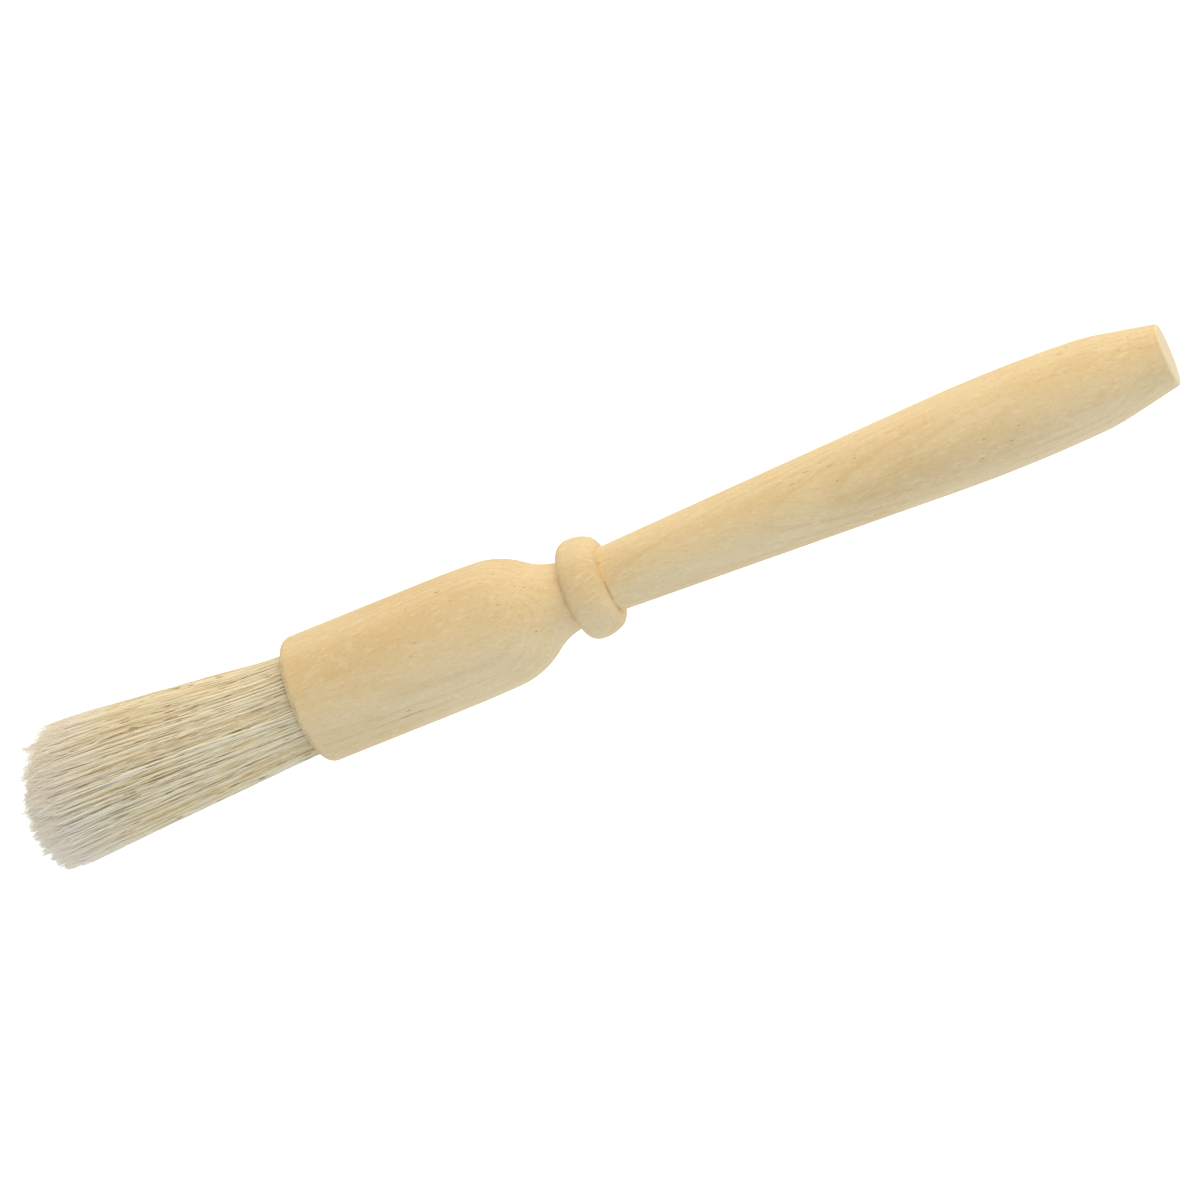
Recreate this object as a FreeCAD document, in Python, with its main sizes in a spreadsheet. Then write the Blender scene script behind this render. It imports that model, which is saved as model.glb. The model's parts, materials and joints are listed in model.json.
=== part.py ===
"""Round pastry brush: a turned wooden handle with a knot of natural bristle set in its head.

Millimetres. The origin is the centre of the handle's butt end face. +X runs along the
handle's axis towards the bristle tips, and +Z is up with the brush lying level.
"""

import FreeCAD, Part

import os
from math import acos, asin, atan2, cos, hypot, pi, radians, sin, sqrt

import Sketcher

DRIVING_SIZES = (
    # the turned handle
    ("handle_length", 168.0),
    ("butt_dia", 11.5),
    ("butt_arris", 0.5),
    ("butt_angle", 11.4),
    ("butt_round", 40.0),
    ("belly_place", 31.5),
    ("belly_dia", 17.8),
    ("belly_sweep", 290.0),
    ("grip_end_dia", 12.1),
    ("bead_start", 107.4),
    ("bead_end", 114.8),
    ("bead_place", 111.85),
    ("bead_dia", 18.9),
    ("bead_crown", 6.9),
    ("bead_corner", 2.4),
    ("neck_dia", 12.5),
    ("cove_place", 113.9),
    ("cove_round", 11.8),
    ("shoulder_round", 15.5),
    ("barrel_sweep", 235.0),
    ("head_start", 140.8),
    ("head_dia", 24.1),
    ("mouth_round", 1.7),
    # the blind socket bored in the head
    ("socket_dia", 19.6),
    ("socket_depth", 28.0),
    ("spur_dia", 4.0),
    ("spur_depth", 2.0),
    # what holds the knot in the socket
    ("resin_gap", 0.05),
    ("resin_thickness", 3.5),
    ("twine_dia", 0.5),
    ("twine_pitch", 0.6),
    ("twine_turns", 5.0),
    ("twine_place", 150.0),
    ("twine_gap", 0.02),
    ("waist_margin", 0.4),
    # the bristle bundle
    ("knot_dia", 19.2),
    ("waist_dia", 18.0),
    ("flare", 0.073),
    ("first_pivot", 6.5),
    ("pivot_step", 11.0),
    ("cup_gap", 0.15),
    ("cup_lip", 4.6),
    ("free_length", 57.0),
    ("toe_dome", 20.0),
    ("toe_round", 4.0),
)
SAME_PLACE = 0.01  # millimetres between two edges that still count as one
BENDING_SEGMENTS = ("bristle_heel", "bristle_lower_belly", "bristle_upper_belly", "bristle_toe")
FULL_TURN = 360.0
START, END, CENTRE = 1, 2, 3
ORIGIN = (-1, 1)
HORIZONTAL_AXIS = -1

doc = FreeCAD.newDocument("pastry_brush")
sheet = doc.addObject("Spreadsheet::Sheet", "Sizes")
for row, (alias, value) in enumerate(DRIVING_SIZES, start=1):
    sheet.set("A%d" % row, alias)
    sheet.set("B%d" % row, str(value))
    sheet.setAlias("B%d" % row, alias)
doc.recompute()


def size(alias):
    """A driving size, in millimetres or degrees."""
    return float(sheet.get(alias))


# ---------------------------------------------------------------- sketch helpers


def new_body(label):
    body = doc.addObject("PartDesign::Body", label)
    body.Label = label
    return body


def new_sketch(body, name):
    """An empty sketch on the body's own XY plane: X along the brush, Y is the radius."""
    plane = next(f for f in body.Origin.OriginFeatures if f.Role == "XY_Plane")
    sketch = body.newObject("Sketcher::SketchObject", name)
    sketch.AttachmentSupport = [(plane, "")]
    sketch.MapMode = "FlatFace"
    return sketch


def add_line(sketch, first, last):
    return sketch.addGeometry(Part.LineSegment(FreeCAD.Vector(*first), FreeCAD.Vector(*last)))


def add_arc(sketch, centre, radius, low_angle, high_angle):
    """An arc that runs counter-clockwise from the low angle to the high one (radians)."""
    circle = Part.Circle(FreeCAD.Vector(*centre), FreeCAD.Vector(0, 0, 1), radius)
    return sketch.addGeometry(Part.ArcOfCircle(circle, low_angle, high_angle))


def fix(sketch, *constraint):
    return sketch.addConstraint(Sketcher.Constraint(*constraint))


def bind(sketch, formula, *constraint):
    """Adds a dimension and drives it from the sheet."""
    index = fix(sketch, *constraint)
    sketch.setExpression("Constraints[%d]" % index, formula)


def join(sketch, first, first_end, second, second_end):
    fix(sketch, "Coincident", first, first_end, second, second_end)


def smooth(sketch, first, first_end, second, second_end):
    fix(sketch, "Tangent", first, first_end, second, second_end)


def place_x(sketch, formula, geometry, end, guess):
    bind(sketch, formula, "DistanceX", *ORIGIN, geometry, end, guess)


def place_y(sketch, formula, geometry, end, guess):
    bind(sketch, formula, "DistanceY", *ORIGIN, geometry, end, guess)


def revolve(body, sketch, name, cut=False):
    """Turns the sketch a full turn about the brush's axis, adding or removing material."""
    kind = "PartDesign::Groove" if cut else "PartDesign::Revolution"
    feature = body.newObject(kind, name)
    feature.Profile = sketch
    feature.ReferenceAxis = (sketch, ["H_Axis"])
    feature.Angle = FULL_TURN
    doc.recompute()
    return feature


def round_rim(body, base, name, rim_x, rim_radius, formula):
    """Rounds the one circular edge of the base feature that has this place and radius."""
    rim = [
        "Edge%d" % number
        for number, edge in enumerate(base.Shape.Edges, start=1)
        if edge.isClosed()
        and not edge.Degenerated
        and isinstance(edge.Curve, Part.Circle)
        and abs(edge.Curve.Center.x - rim_x) < SAME_PLACE
        and abs(edge.Curve.Radius - rim_radius) < SAME_PLACE
    ]
    fillet = body.newObject("PartDesign::Fillet", name)
    fillet.Base = (base, rim)
    fillet.setExpression("Radius", formula)
    doc.recompute()
    return fillet


# ---------------------------------------------------------------- plane geometry


def angle_of(centre, point):
    return atan2(point[1] - centre[1], point[0] - centre[0])


def circles_meet(first, first_radius, second, second_radius):
    """Of the two points where two circles meet, the one further along the brush."""
    gap = hypot(second[0] - first[0], second[1] - first[1])
    along = (gap**2 + first_radius**2 - second_radius**2) / (2 * gap)
    aside = sqrt(first_radius**2 - along**2)
    step = ((second[0] - first[0]) / gap, (second[1] - first[1]) / gap)
    ends = [
        (
            first[0] + along * step[0] - side * aside * step[1],
            first[1] + along * step[1] + side * aside * step[0],
        )
        for side in (-1, 1)
    ]
    return max(ends)


# ---------------------------------------------------------------- the turned handle


def butt_round_centre(belly_centre):
    """Centre of the round that joins the butt's cone to the long curve of the belly."""
    slope = radians(size("butt_angle"))
    round_radius = size("butt_round")
    start = (round_radius * sin(slope), size("butt_dia") / 2 - round_radius * cos(slope))
    reach = size("belly_sweep") - round_radius
    to_start = (start[0] - belly_centre[0], start[1] - belly_centre[1])
    half_b = to_start[0] * cos(slope) + to_start[1] * sin(slope)
    rest = to_start[0] ** 2 + to_start[1] ** 2 - reach**2
    distance = -half_b + sqrt(half_b**2 - rest)
    return start[0] + distance * cos(slope), start[1] + distance * sin(slope)


def add_bead(sketch, grip_end, neck):
    """The bead: two flat sides, two rounded corners and a crown set towards the head."""
    start_x, end_x, corner = size("bead_start"), size("bead_end"), size("bead_corner")
    crown_radius = size("bead_crown")
    crown_centre = (size("bead_place"), size("bead_dia") / 2 - crown_radius)
    gap = crown_radius - corner
    centres = [
        (x, crown_centre[1] + sqrt(gap**2 - (x - crown_centre[0]) ** 2))
        for x in (start_x + corner, end_x - corner)
    ]
    angles = [angle_of(crown_centre, centre) for centre in centres]

    rise = add_line(sketch, (start_x, grip_end), (start_x, centres[0][1]))
    first = add_arc(sketch, centres[0], corner, angles[0], pi)
    crown = add_arc(sketch, crown_centre, crown_radius, angles[1], angles[0])
    second = add_arc(sketch, centres[1], corner, 0, angles[1])
    fall = add_line(sketch, (end_x, centres[1][1]), (end_x, neck))
    fix(sketch, "Vertical", rise)
    place_x(sketch, "Sizes.bead_start", rise, START, start_x)
    smooth(sketch, rise, END, first, END)
    bind(sketch, "Sizes.bead_corner", "Radius", first, corner)
    smooth(sketch, first, START, crown, END)
    bind(sketch, "Sizes.bead_crown", "Radius", crown, crown_radius)
    place_x(sketch, "Sizes.bead_place", crown, CENTRE, crown_centre[0])
    place_y(sketch, "Sizes.bead_dia / 2 - Sizes.bead_crown", crown, CENTRE, crown_centre[1])
    smooth(sketch, crown, START, second, END)
    bind(sketch, "Sizes.bead_corner", "Radius", second, corner)
    smooth(sketch, second, START, fall, START)
    fix(sketch, "Vertical", fall)
    place_x(sketch, "Sizes.bead_end", fall, START, end_x)
    return rise, fall


def handle_outline(body):
    """Half the turned outline, from the butt to the mouth, closed along the axis."""
    sketch = new_sketch(body, "HandleOutline")
    length, head_radius = size("handle_length"), size("head_dia") / 2
    butt_radius, slope = size("butt_dia") / 2, radians(size("butt_angle"))
    grip_end, neck = size("grip_end_dia") / 2, size("neck_dia") / 2
    belly_radius = size("belly_sweep")
    belly_centre = (size("belly_place"), size("belly_dia") / 2 - belly_radius)
    round_centre = butt_round_centre(belly_centre)
    cone_end_angle = pi / 2 + slope
    cone_end = (
        round_centre[0] + size("butt_round") * cos(cone_end_angle),
        round_centre[1] + size("butt_round") * sin(cone_end_angle),
    )
    belly_left = angle_of(belly_centre, round_centre)

    grip_corner = (size("bead_start"), grip_end)
    reach = hypot(grip_corner[0] - belly_centre[0], grip_corner[1] - belly_centre[1])
    belly_right = angle_of(belly_centre, grip_corner) + acos(belly_radius / reach)
    taper_start = (
        belly_centre[0] + belly_radius * cos(belly_right),
        belly_centre[1] + belly_radius * sin(belly_right),
    )

    cove_radius, shoulder_radius = size("cove_round"), size("shoulder_round")
    cove_centre = (size("cove_place"), neck + cove_radius)
    barrel_radius = size("barrel_sweep")
    barrel_centre = (size("head_start"), head_radius - barrel_radius)
    shoulder_centre = circles_meet(
        cove_centre,
        cove_radius + shoulder_radius,
        barrel_centre,
        barrel_radius - shoulder_radius,
    )
    cove_high = angle_of(cove_centre, shoulder_centre)
    shoulder_low = angle_of(barrel_centre, shoulder_centre)

    butt_face = add_line(sketch, (0, 0), (0, butt_radius))
    cone = add_line(sketch, (0, butt_radius), cone_end)
    butt_arc = add_arc(sketch, round_centre, size("butt_round"), belly_left, cone_end_angle)
    belly = add_arc(sketch, belly_centre, belly_radius, belly_right, belly_left)
    taper = add_line(sketch, taper_start, grip_corner)
    bead_rise, bead_fall = add_bead(sketch, grip_end, neck)
    cove_low = acos((size("bead_end") - cove_centre[0]) / cove_radius) - pi
    cove = add_arc(sketch, cove_centre, cove_radius, cove_low, cove_high)
    shoulder = add_arc(sketch, shoulder_centre, shoulder_radius, shoulder_low, cove_high + pi)
    barrel = add_arc(sketch, barrel_centre, barrel_radius, pi / 2, shoulder_low)
    head = add_line(sketch, (size("head_start"), head_radius), (length, head_radius))
    mouth = add_line(sketch, (length, head_radius), (length, 0))
    axis = add_line(sketch, (length, 0), (0, 0))

    fix(sketch, "Coincident", butt_face, START, *ORIGIN)
    fix(sketch, "Vertical", butt_face)
    place_y(sketch, "Sizes.butt_dia / 2", butt_face, END, butt_radius)
    join(sketch, butt_face, END, cone, START)
    bind(sketch, "Sizes.butt_angle", "Angle", cone, slope)
    smooth(sketch, cone, END, butt_arc, END)
    bind(sketch, "Sizes.butt_round", "Radius", butt_arc, size("butt_round"))
    smooth(sketch, butt_arc, START, belly, END)
    bind(sketch, "Sizes.belly_sweep", "Radius", belly, belly_radius)
    place_x(sketch, "Sizes.belly_place", belly, CENTRE, belly_centre[0])
    place_y(sketch, "Sizes.belly_dia / 2 - Sizes.belly_sweep", belly, CENTRE, belly_centre[1])
    smooth(sketch, belly, START, taper, START)
    place_y(sketch, "Sizes.grip_end_dia / 2", taper, END, grip_end)
    join(sketch, taper, END, bead_rise, START)
    join(sketch, bead_fall, END, cove, START)
    bind(sketch, "Sizes.cove_round", "Radius", cove, cove_radius)
    place_x(sketch, "Sizes.cove_place", cove, CENTRE, cove_centre[0])
    place_y(sketch, "Sizes.neck_dia / 2 + Sizes.cove_round", cove, CENTRE, cove_centre[1])
    smooth(sketch, cove, END, shoulder, END)
    bind(sketch, "Sizes.shoulder_round", "Radius", shoulder, shoulder_radius)
    smooth(sketch, shoulder, START, barrel, END)
    bind(sketch, "Sizes.barrel_sweep", "Radius", barrel, barrel_radius)
    place_x(sketch, "Sizes.head_start", barrel, CENTRE, barrel_centre[0])
    smooth(sketch, barrel, START, head, START)
    fix(sketch, "Horizontal", head)
    place_y(sketch, "Sizes.head_dia / 2", head, START, head_radius)
    join(sketch, head, END, mouth, START)
    fix(sketch, "Vertical", mouth)
    place_x(sketch, "Sizes.handle_length", mouth, START, length)
    fix(sketch, "PointOnObject", mouth, END, HORIZONTAL_AXIS)
    join(sketch, mouth, END, axis, START)
    join(sketch, axis, END, butt_face, START)
    return sketch


def socket_outline(body):
    """The bored socket, flat-bottomed, with the cone that the bit's spur leaves."""
    sketch = new_sketch(body, "SocketOutline")
    mouth_x, radius = size("handle_length"), size("socket_dia") / 2
    floor_x, spur_radius = mouth_x - size("socket_depth"), size("spur_dia") / 2
    spur_x = floor_x - size("spur_depth")
    floor = "Sizes.handle_length - Sizes.socket_depth"
    opening = add_line(sketch, (mouth_x, 0), (mouth_x, radius))
    wall = add_line(sketch, (mouth_x, radius), (floor_x, radius))
    flat = add_line(sketch, (floor_x, radius), (floor_x, spur_radius))
    spur = add_line(sketch, (floor_x, spur_radius), (spur_x, 0))
    axis = add_line(sketch, (spur_x, 0), (mouth_x, 0))
    lines = (opening, wall, flat, spur, axis)
    for line, after in zip(lines, lines[1:] + lines[:1]):
        join(sketch, line, END, after, START)
    fix(sketch, "Vertical", opening)
    fix(sketch, "Horizontal", wall)
    fix(sketch, "Vertical", flat)
    fix(sketch, "PointOnObject", opening, START, HORIZONTAL_AXIS)
    fix(sketch, "PointOnObject", spur, END, HORIZONTAL_AXIS)
    place_x(sketch, "Sizes.handle_length", opening, START, mouth_x)
    place_x(sketch, floor, flat, START, floor_x)
    place_x(sketch, floor + " - Sizes.spur_depth", spur, END, spur_x)
    place_y(sketch, "Sizes.socket_dia / 2", wall, START, radius)
    place_y(sketch, "Sizes.spur_dia / 2", spur, START, spur_radius)
    return sketch


def make_handle():
    """One piece of wood, turned outside, bored at the head, its two end rims eased."""
    body = new_body("handle")
    turned = revolve(body, handle_outline(body), "Turned")
    eased = round_rim(body, turned, "ButtArris", 0, size("butt_dia") / 2, "Sizes.butt_arris")
    mouth_x, head_radius = size("handle_length"), size("head_dia") / 2
    round_rim(body, eased, "MouthRound", mouth_x, head_radius, "Sizes.mouth_round")
    revolve(body, socket_outline(body), "Socket", cut=True)
    return body


# ---------------------------------------------------------------- inside the socket


def make_setting_resin():
    """The disc of resin under the knot, which has run into the spur's cone."""
    body = new_body("setting_resin")
    sketch = new_sketch(body, "ResinOutline")
    floor_x = size("handle_length") - size("socket_depth") + size("resin_gap")
    radius = size("socket_dia") / 2 - size("resin_gap")
    tip_x, spur_radius = floor_x - size("spur_depth"), size("spur_dia") / 2 - size("resin_gap")
    top_x = floor_x + size("resin_thickness")
    floor = "Sizes.handle_length - Sizes.socket_depth + Sizes.resin_gap"
    cone = add_line(sketch, (tip_x, 0), (floor_x, spur_radius))
    under = add_line(sketch, (floor_x, spur_radius), (floor_x, radius))
    rim = add_line(sketch, (floor_x, radius), (top_x, radius))
    top = add_line(sketch, (top_x, radius), (top_x, 0))
    axis = add_line(sketch, (top_x, 0), (tip_x, 0))
    lines = (cone, under, rim, top, axis)
    for line, after in zip(lines, lines[1:] + lines[:1]):
        join(sketch, line, END, after, START)
    fix(sketch, "Vertical", under)
    fix(sketch, "Horizontal", rim)
    fix(sketch, "Vertical", top)
    fix(sketch, "PointOnObject", cone, START, HORIZONTAL_AXIS)
    fix(sketch, "PointOnObject", axis, START, HORIZONTAL_AXIS)
    place_x(sketch, floor + " - Sizes.spur_depth", cone, START, tip_x)
    place_x(sketch, floor, under, START, floor_x)
    place_x(sketch, floor + " + Sizes.resin_thickness", top, START, top_x)
    place_y(sketch, "Sizes.spur_dia / 2 - Sizes.resin_gap", cone, END, spur_radius)
    place_y(sketch, "Sizes.socket_dia / 2 - Sizes.resin_gap", rim, START, radius)
    revolve(body, sketch, "Disc")
    return body


def make_binding_twine():
    """Close turns of twine that draw the knot in before it is set."""
    body = new_body("binding_twine")
    sketch = new_sketch(body, "TwineSection")
    radius, seat = size("twine_dia") / 2, size("waist_dia") / 2 + size("twine_gap")
    centre = (size("twine_place"), seat + radius)
    circle = sketch.addGeometry(
        Part.Circle(FreeCAD.Vector(*centre), FreeCAD.Vector(0, 0, 1), radius)
    )
    bind(sketch, "Sizes.twine_dia / 2", "Radius", circle, radius)
    place_x(sketch, "Sizes.twine_place", circle, CENTRE, centre[0])
    seat_formula = "Sizes.waist_dia / 2 + Sizes.twine_gap + Sizes.twine_dia / 2"
    place_y(sketch, seat_formula, circle, CENTRE, centre[1])
    doc.recompute()
    coil = body.newObject("PartDesign::AdditiveHelix", "Coil")
    coil.Profile = sketch
    coil.ReferenceAxis = (sketch, ["H_Axis"])
    coil.Mode = "pitch-turns-angle"
    coil.setExpression("Pitch", "Sizes.twine_pitch")
    coil.setExpression("Turns", "Sizes.twine_turns")
    coil.Angle = 0
    coil.LeftHanded = False
    coil.Reversed = False
    doc.recompute()
    return body


# ---------------------------------------------------------------- the bristles


def pivot_x(number):
    """Where bending place 0, 1, 2 or 3 lies along the brush."""
    return size("handle_length") + size("first_pivot") + number * size("pivot_step")


def pivot_formula(number):
    return "Sizes.handle_length + Sizes.first_pivot + %d * Sizes.pivot_step" % number


def bundle_radius(x):
    """The bundle widens steadily from the mouth to the toe."""
    return size("knot_dia") / 2 + size("flare") * (x - size("handle_length"))


def bundle_formula(offset):
    """The bundle's radius at this distance beyond the mouth."""
    return "Sizes.knot_dia / 2 + Sizes.flare * (%s)" % offset


def pivot_offset(number):
    return "Sizes.first_pivot + %d * Sizes.pivot_step" % number


def add_cup(sketch, number, outer_line):
    """Ends the outer line in a flat lip and a hollow cup round the next bending place."""
    centre_x = pivot_x(number)
    radius = bundle_radius(centre_x) + size("cup_gap")
    lip_x = centre_x - size("cup_lip")
    lip_radius = sqrt(radius**2 - size("cup_lip") ** 2)
    lip = add_line(sketch, (lip_x, bundle_radius(lip_x)), (lip_x, lip_radius))
    cup = add_arc(sketch, (centre_x, 0), radius, pi - asin(lip_radius / radius), pi)
    join(sketch, outer_line, END, lip, START)
    fix(sketch, "Vertical", lip)
    place_x(sketch, pivot_formula(number) + " - Sizes.cup_lip", lip, START, lip_x)
    lip_offset = pivot_offset(number) + " - Sizes.cup_lip"
    place_y(sketch, bundle_formula(lip_offset), lip, START, bundle_radius(lip_x))
    join(sketch, lip, END, cup, START)
    fix(sketch, "PointOnObject", cup, CENTRE, HORIZONTAL_AXIS)
    fix(sketch, "PointOnObject", cup, END, HORIZONTAL_AXIS)
    place_x(sketch, pivot_formula(number), cup, CENTRE, centre_x)
    cup_formula = bundle_formula(pivot_offset(number)) + " + Sizes.cup_gap"
    bind(sketch, cup_formula, "Radius", cup, radius)
    return cup


def add_ball(sketch, number):
    """Starts a segment with a ball round its own bending place."""
    centre_x = pivot_x(number)
    radius = bundle_radius(centre_x)
    ball = add_arc(sketch, (centre_x, 0), radius, pi / 2, pi)
    fix(sketch, "PointOnObject", ball, CENTRE, HORIZONTAL_AXIS)
    fix(sketch, "PointOnObject", ball, END, HORIZONTAL_AXIS)
    fix(sketch, "Vertical", ball, START, ball, CENTRE)
    place_x(sketch, pivot_formula(number), ball, CENTRE, centre_x)
    bind(sketch, bundle_formula(pivot_offset(number)), "Radius", ball, radius)
    return ball


def make_bristle_roots():
    """The set end of the knot: held in the socket, drawn in where the twine sits."""
    body = new_body("bristle_roots")
    sketch = new_sketch(body, "RootsOutline")
    mouth_x, knot, waist = size("handle_length"), size("knot_dia") / 2, size("waist_dia") / 2
    root_x = mouth_x - size("socket_depth") + 2 * size("resin_gap") + size("resin_thickness")
    margin = size("twine_dia") / 2 + size("waist_margin")
    waist_start = size("twine_place") - margin
    waist_end = size("twine_place") + size("twine_turns") * size("twine_pitch") + margin
    lip_x = pivot_x(0) - size("cup_lip")
    places = (
        (root_x, 0),
        (root_x, knot),
        (waist_start, knot),
        (waist_start, waist),
        (waist_end, waist),
        (waist_end, knot),
        (mouth_x, knot),
        (lip_x, bundle_radius(lip_x)),
    )
    lines = [add_line(sketch, first, last) for first, last in zip(places, places[1:])]
    root, wall, step_in, floor, step_out, upper, flare = lines
    for line, after in zip(lines, lines[1:]):
        join(sketch, line, END, after, START)
    for line in (root, step_in, step_out):
        fix(sketch, "Vertical", line)
    for line in (wall, floor, upper):
        fix(sketch, "Horizontal", line)
    root_formula = "Sizes.handle_length - Sizes.socket_depth + 2 * Sizes.resin_gap"
    margin_formula = "(Sizes.twine_dia / 2 + Sizes.waist_margin)"
    wound = "Sizes.twine_place + Sizes.twine_turns * Sizes.twine_pitch + "
    place_x(sketch, root_formula + " + Sizes.resin_thickness", root, START, root_x)
    fix(sketch, "PointOnObject", root, START, HORIZONTAL_AXIS)
    place_y(sketch, "Sizes.knot_dia / 2", wall, START, knot)
    place_x(sketch, "Sizes.twine_place - " + margin_formula, step_in, START, waist_start)
    place_y(sketch, "Sizes.waist_dia / 2", floor, START, waist)
    place_x(sketch, wound + margin_formula, step_out, START, waist_end)
    place_y(sketch, "Sizes.knot_dia / 2", upper, START, knot)
    place_x(sketch, "Sizes.handle_length", flare, START, mouth_x)
    cup = add_cup(sketch, 0, flare)
    axis = add_line(sketch, (pivot_x(0) - bundle_radius(pivot_x(0)), 0), (root_x, 0))
    join(sketch, cup, END, axis, START)
    join(sketch, axis, END, root, START)
    revolve(body, sketch, "Knot")
    return body


def make_bending_segment(label, number):
    """A stretch of the bundle between two bending places, a ball behind and a cup ahead."""
    body = new_body(label)
    sketch = new_sketch(body, "SegmentOutline")
    here, ahead = pivot_x(number), pivot_x(number + 1)
    lip_x = ahead - size("cup_lip")
    ball = add_ball(sketch, number)
    side = add_line(sketch, (here, bundle_radius(here)), (lip_x, bundle_radius(lip_x)))
    join(sketch, ball, START, side, START)
    cup = add_cup(sketch, number + 1, side)
    axis = add_line(sketch, (ahead - bundle_radius(ahead), 0), (here - bundle_radius(here), 0))
    join(sketch, cup, END, axis, START)
    join(sketch, axis, END, ball, END)
    revolve(body, sketch, "Segment")
    return body


def make_toe(label, number):
    """The last stretch, with the domed toe that the trimmed tips make."""
    body = new_body(label)
    sketch = new_sketch(body, "ToeOutline")
    here, dome = pivot_x(number), size("toe_dome")
    tip_x = size("handle_length") + size("free_length")
    # where the widening side meets the dome: one root of a quadratic in the distance
    # from the dome's centre
    rise, dome_x = size("flare"), tip_x - dome
    radius_there = bundle_radius(dome_x)
    half_b, whole_a = rise * radius_there, 1 + rise**2
    reach = (-half_b + sqrt(half_b**2 - whole_a * (radius_there**2 - dome**2))) / whole_a
    rim_x, rim_radius = dome_x + reach, bundle_radius(dome_x + reach)
    ball = add_ball(sketch, number)
    side = add_line(sketch, (here, bundle_radius(here)), (rim_x, rim_radius))
    cap = add_arc(sketch, (dome_x, 0), dome, 0, asin(rim_radius / dome))
    axis = add_line(sketch, (tip_x, 0), (here - bundle_radius(here), 0))
    join(sketch, ball, START, side, START)
    join(sketch, side, END, cap, END)
    bind(sketch, "atan(Sizes.flare)", "Angle", side, atan2(rise, 1))
    fix(sketch, "PointOnObject", cap, CENTRE, HORIZONTAL_AXIS)
    fix(sketch, "PointOnObject", cap, START, HORIZONTAL_AXIS)
    bind(sketch, "Sizes.toe_dome", "Radius", cap, dome)
    place_x(sketch, "Sizes.handle_length + Sizes.free_length", cap, START, tip_x)
    join(sketch, cap, START, axis, START)
    join(sketch, axis, END, ball, END)
    domed = revolve(body, sketch, "Domed")
    round_rim(body, domed, "ToeRound", rim_x, rim_radius, "Sizes.toe_round")
    return body


def make_parts():
    parts = [make_handle(), make_setting_resin(), make_binding_twine(), make_bristle_roots()]
    for number, label in enumerate(BENDING_SEGMENTS[:-1]):
        parts.append(make_bending_segment(label, number))
    parts.append(make_toe(BENDING_SEGMENTS[-1], len(BENDING_SEGMENTS) - 1))
    return parts


def check_document(parts):
    """Stops if any feature failed, a sketch is loose or a part isn't one valid solid."""
    for item in doc.Objects:
        if "Invalid" in item.State or "Error" in item.State:
            raise RuntimeError("%s failed: %s" % (item.Name, item.State))
        if item.TypeId == "Sketcher::SketchObject" and not item.FullyConstrained:
            raise RuntimeError("%s is not fully constrained" % item.Name)
    for part in parts:
        shape = part.Shape
        if shape.isNull() or not shape.isValid() or len(shape.Solids) != 1:
            raise RuntimeError("%s has no single valid solid" % part.Label)


def main():
    parts = make_parts()
    doc.recompute()
    check_document(parts)
    os.makedirs("parts", exist_ok=True)
    for part in parts:
        part.Shape.exportStep("parts/%s.step" % part.Label)


main()
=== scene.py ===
"""Looks of a round pastry brush: turned wood and a bundle of natural bristle.

Metres, in the CAD's frame: +X runs from the butt to the bristle tips, +Z is up.
"""

import json
import math

import bpy
import numpy as np
from mathutils import Matrix, Vector

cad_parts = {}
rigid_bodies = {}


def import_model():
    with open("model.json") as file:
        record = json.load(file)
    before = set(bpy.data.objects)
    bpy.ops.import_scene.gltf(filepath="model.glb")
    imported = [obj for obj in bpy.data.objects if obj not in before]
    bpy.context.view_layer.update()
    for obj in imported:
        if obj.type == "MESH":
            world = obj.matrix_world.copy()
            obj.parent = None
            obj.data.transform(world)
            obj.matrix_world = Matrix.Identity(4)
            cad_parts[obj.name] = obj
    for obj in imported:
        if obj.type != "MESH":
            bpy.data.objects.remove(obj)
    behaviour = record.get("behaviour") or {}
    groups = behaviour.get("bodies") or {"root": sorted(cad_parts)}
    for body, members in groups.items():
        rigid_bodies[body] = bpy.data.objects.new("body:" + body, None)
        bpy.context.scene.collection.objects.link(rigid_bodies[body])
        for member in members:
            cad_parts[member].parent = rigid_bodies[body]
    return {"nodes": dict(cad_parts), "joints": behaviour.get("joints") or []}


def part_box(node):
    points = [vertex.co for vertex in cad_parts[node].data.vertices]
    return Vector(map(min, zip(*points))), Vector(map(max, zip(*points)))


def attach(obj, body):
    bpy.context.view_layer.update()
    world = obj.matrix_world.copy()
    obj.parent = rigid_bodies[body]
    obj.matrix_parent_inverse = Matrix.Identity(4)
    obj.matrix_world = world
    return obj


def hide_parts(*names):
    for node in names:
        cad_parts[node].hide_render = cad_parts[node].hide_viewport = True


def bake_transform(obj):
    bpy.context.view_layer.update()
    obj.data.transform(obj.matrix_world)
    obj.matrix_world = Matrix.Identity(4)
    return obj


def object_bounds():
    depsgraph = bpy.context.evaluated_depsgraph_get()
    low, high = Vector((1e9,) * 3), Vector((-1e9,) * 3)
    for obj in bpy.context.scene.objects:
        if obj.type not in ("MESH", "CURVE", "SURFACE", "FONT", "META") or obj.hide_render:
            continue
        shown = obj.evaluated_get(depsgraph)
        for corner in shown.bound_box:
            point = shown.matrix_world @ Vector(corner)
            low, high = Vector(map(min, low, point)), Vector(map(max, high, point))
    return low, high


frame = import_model()
cad_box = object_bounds()

MM = 0.001
rng = np.random.default_rng(20260)

# ---------------------------------------------------------------- places from the frame

middle = (cad_box[0] + cad_box[1]) / 2
length = cad_box[1].x - cad_box[0].x
mouth_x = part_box("handle")[1].x
head_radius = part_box("handle")[1].z
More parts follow.
